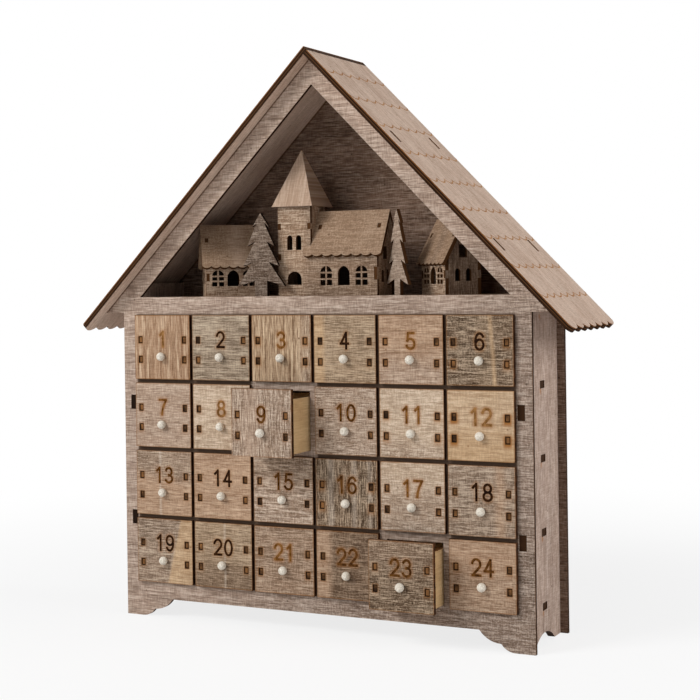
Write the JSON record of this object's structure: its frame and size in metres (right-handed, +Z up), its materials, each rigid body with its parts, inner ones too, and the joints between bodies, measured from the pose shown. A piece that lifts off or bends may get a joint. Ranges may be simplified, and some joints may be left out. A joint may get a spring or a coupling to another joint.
{
  "type": "wooden advent calendar",
  "caption": "Gabled wooden house-shaped advent calendar: a grid of numbered pull-out drawers with bead knobs under a roofed room holding a cut-out village.",
  "frame": {"origin": "on the floor, under the middle of the box round the part as it stands", "axes": "+X right, +Y to the back, +Z up to the ridge"},
  "size_m": [0.3846, 0.123, 0.4101],
  "materials": {
    "case_plywood": "whitewashed grey-brown plywood with scorched edges",
    "side_plywood": "pinkish beige plywood",
    "roof_plywood": "light beige plywood with engraved shingle rows",
    "inner_plywood": "plain plywood",
    "village_plywood": "whitewashed plywood with scorched edges",
    "drawer_plywood": "mixed whitewashed plywood fronts with burnt numbers and white bead knobs"
  },
  "bodies": {
    "case": {"front_panel": "case_plywood", "back_panel": "case_plywood", "left_side": "side_plywood", "right_side": "side_plywood", "bottom_shelf": "inner_plywood", "lower_shelf": "inner_plywood", "middle_shelf": "inner_plywood", "upper_shelf": "inner_plywood", "village_floor": "inner_plywood", "column_divider_1": "inner_plywood", "column_divider_2": "inner_plywood", "column_divider_3": "inner_plywood", "column_divider_4": "inner_plywood", "column_divider_5": "inner_plywood", "left_roof": "roof_plywood", "right_roof": "roof_plywood", "church_front_wall": "village_plywood", "church_back_wall": "village_plywood", "tower_left_wall": "village_plywood", "tower_right_wall": "village_plywood", "nave_gables": "village_plywood", "nave_roof_front": "village_plywood", "nave_roof_back": "village_plywood", "tower_spire": "village_plywood", "left_cottage_front_wall": "village_plywood", "left_cottage_back_wall": "village_plywood", "left_cottage_gables": "village_plywood", "left_cottage_roof": "village_plywood", "right_cottage_front_wall": "village_plywood", "right_cottage_back_wall": "village_plywood", "right_cottage_gables": "village_plywood", "right_cottage_roof": "village_plywood", "left_tree": "village_plywood", "right_tree": "village_plywood"},
    "drawer_01": {"drawer_01": "drawer_plywood"},
    "drawer_02": {"drawer_02": "drawer_plywood"},
    "drawer_03": {"drawer_03": "drawer_plywood"},
    "drawer_04": {"drawer_04": "drawer_plywood"},
    "drawer_05": {"drawer_05": "drawer_plywood"},
    "drawer_06": {"drawer_06": "drawer_plywood"},
    "drawer_07": {"drawer_07": "drawer_plywood"},
    "drawer_08": {"drawer_08": "drawer_plywood"},
    "drawer_09": {"drawer_09": "drawer_plywood"},
    "drawer_10": {"drawer_10": "drawer_plywood"},
    "drawer_11": {"drawer_11": "drawer_plywood"},
    "drawer_12": {"drawer_12": "drawer_plywood"},
    "drawer_13": {"drawer_13": "drawer_plywood"},
    "drawer_14": {"drawer_14": "drawer_plywood"},
    "drawer_15": {"drawer_15": "drawer_plywood"},
    "drawer_16": {"drawer_16": "drawer_plywood"},
    "drawer_17": {"drawer_17": "drawer_plywood"},
    "drawer_18": {"drawer_18": "drawer_plywood"},
    "drawer_19": {"drawer_19": "drawer_plywood"},
    "drawer_20": {"drawer_20": "drawer_plywood"},
    "drawer_21": {"drawer_21": "drawer_plywood"},
    "drawer_22": {"drawer_22": "drawer_plywood"},
    "drawer_23": {"drawer_23": "drawer_plywood"},
    "drawer_24": {"drawer_24": "drawer_plywood"}
  },
  "joints": [
    {"name": "drawer_01_slide", "type": "slide", "parent": "case", "child": "drawer_01", "axis": [0, -1, 0], "range_m": [0, 0.05]},
    {"name": "drawer_02_slide", "type": "slide", "parent": "case", "child": "drawer_02", "axis": [0, -1, 0], "range_m": [0, 0.05]},
    {"name": "drawer_03_slide", "type": "slide", "parent": "case", "child": "drawer_03", "axis": [0, -1, 0], "range_m": [0, 0.05]},
    {"name": "drawer_04_slide", "type": "slide", "parent": "case", "child": "drawer_04", "axis": [0, -1, 0], "range_m": [0, 0.05]},
    {"name": "drawer_05_slide", "type": "slide", "parent": "case", "child": "drawer_05", "axis": [0, -1, 0], "range_m": [0, 0.05]},
    {"name": "drawer_06_slide", "type": "slide", "parent": "case", "child": "drawer_06", "axis": [0, -1, 0], "range_m": [0, 0.05]},
    {"name": "drawer_07_slide", "type": "slide", "parent": "case", "child": "drawer_07", "axis": [0, -1, 0], "range_m": [0, 0.05]},
    {"name": "drawer_08_slide", "type": "slide", "parent": "case", "child": "drawer_08", "axis": [0, -1, 0], "range_m": [0, 0.05]},
    {"name": "drawer_09_slide", "type": "slide", "parent": "case", "child": "drawer_09", "axis": [0, -1, 0], "range_m": [-0.03, 0.02]},
    {"name": "drawer_10_slide", "type": "slide", "parent": "case", "child": "drawer_10", "axis": [0, -1, 0], "range_m": [0, 0.05]},
    {"name": "drawer_11_slide", "type": "slide", "parent": "case", "child": "drawer_11", "axis": [0, -1, 0], "range_m": [0, 0.05]},
    {"name": "drawer_12_slide", "type": "slide", "parent": "case", "child": "drawer_12", "axis": [0, -1, 0], "range_m": [0, 0.05]},
    {"name": "drawer_13_slide", "type": "slide", "parent": "case", "child": "drawer_13", "axis": [0, -1, 0], "range_m": [0, 0.05]},
    {"name": "drawer_14_slide", "type": "slide", "parent": "case", "child": "drawer_14", "axis": [0, -1, 0], "range_m": [0, 0.05]},
    {"name": "drawer_15_slide", "type": "slide", "parent": "case", "child": "drawer_15", "axis": [0, -1, 0], "range_m": [0, 0.05]},
    {"name": "drawer_16_slide", "type": "slide", "parent": "case", "child": "drawer_16", "axis": [0, -1, 0], "range_m": [0, 0.05]},
    {"name": "drawer_17_slide", "type": "slide", "parent": "case", "child": "drawer_17", "axis": [0, -1, 0], "range_m": [0, 0.05]},
    {"name": "drawer_18_slide", "type": "slide", "parent": "case", "child": "drawer_18", "axis": [0, -1, 0], "range_m": [0, 0.05]},
    {"name": "drawer_19_slide", "type": "slide", "parent": "case", "child": "drawer_19", "axis": [0, -1, 0], "range_m": [0, 0.05]},
    {"name": "drawer_20_slide", "type": "slide", "parent": "case", "child": "drawer_20", "axis": [0, -1, 0], "range_m": [0, 0.05]},
    {"name": "drawer_21_slide", "type": "slide", "parent": "case", "child": "drawer_21", "axis": [0, -1, 0], "range_m": [0, 0.05]},
    {"name": "drawer_22_slide", "type": "slide", "parent": "case", "child": "drawer_22", "axis": [0, -1, 0], "range_m": [0, 0.05]},
    {"name": "drawer_23_slide", "type": "slide", "parent": "case", "child": "drawer_23", "axis": [0, -1, 0], "range_m": [-0.021, 0.029]},
    {"name": "drawer_24_slide", "type": "slide", "parent": "case", "child": "drawer_24", "axis": [0, -1, 0], "range_m": [0, 0.05]}
  ]
}
